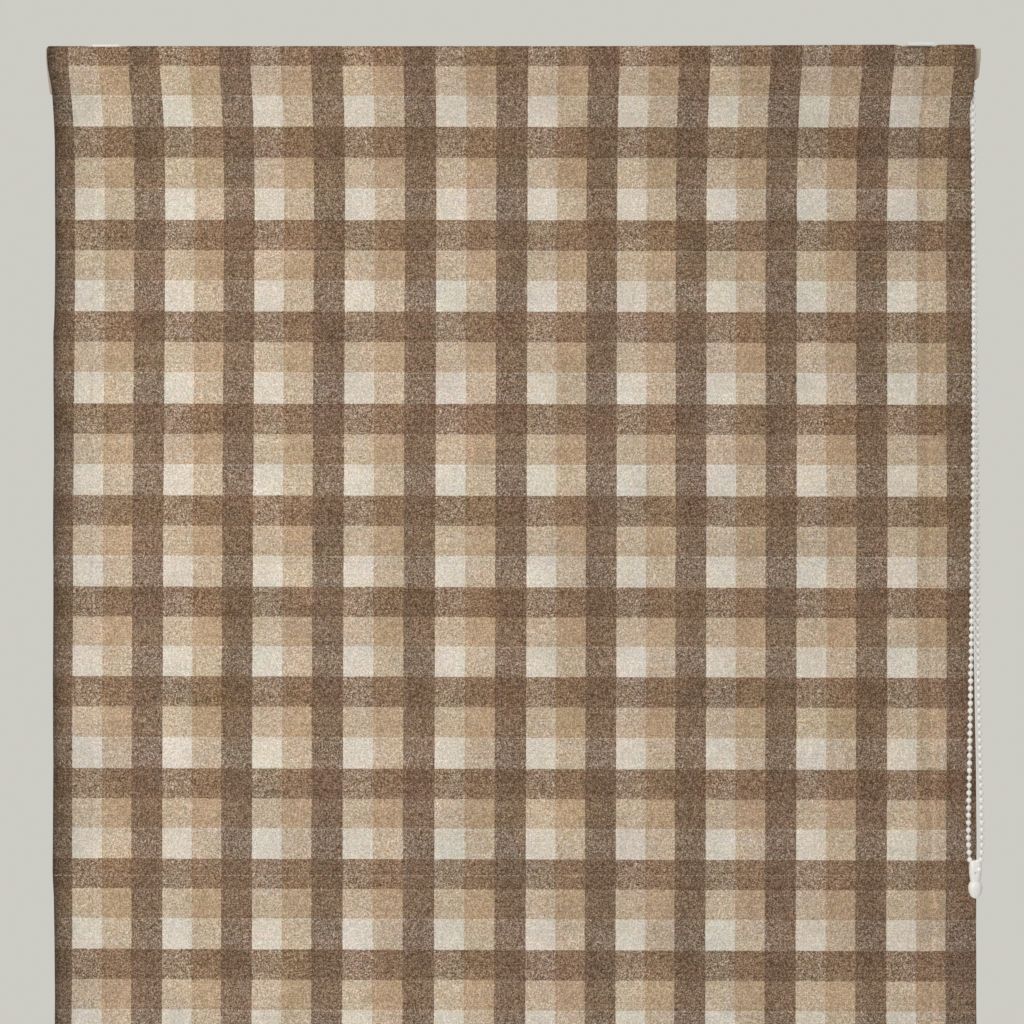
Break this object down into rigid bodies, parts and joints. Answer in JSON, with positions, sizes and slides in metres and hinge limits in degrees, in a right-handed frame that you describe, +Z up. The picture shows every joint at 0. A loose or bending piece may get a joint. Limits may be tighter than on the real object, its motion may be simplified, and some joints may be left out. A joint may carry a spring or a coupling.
{
  "type": "roman shade with headrail",
  "caption": "Flat, lowered roman shade in a woven block check, hung from a headrail that clips into two top brackets, with a loop of ball chain at its right end.",
  "frame": {"origin": "on the headrail's flat top, midway between the two brackets", "axes": "+Z up, the front of the shade faces -Y, +X to the right as seen from the front"},
  "size_m": [0.7524, 0.0525, 1.058],
  "materials": {
    "check_cloth": "brushed woven block check in brown, tan and cream",
    "pocket_tape": "plain woven tape",
    "rail_metal": "extruded, satin",
    "beige_plastic": "moulded, satin",
    "bracket_plastic": "moulded, satin",
    "chain_plastic": "moulded, semi-gloss"
  },
  "bodies": {
    "root": {"cloth": "check_cloth", "rod_pocket_1": "pocket_tape", "rod_pocket_2": "pocket_tape", "rod_pocket_3": "pocket_tape", "rod_pocket_4": "pocket_tape", "headrail": "rail_metal", "end_cap_left": "beige_plastic", "chain_drive": "beige_plastic", "bracket_left": "bracket_plastic", "bracket_right": "bracket_plastic", "chain_front": "chain_plastic", "chain_back": "chain_plastic", "chain_connector": "chain_plastic"}
  },
  "joints": []
}
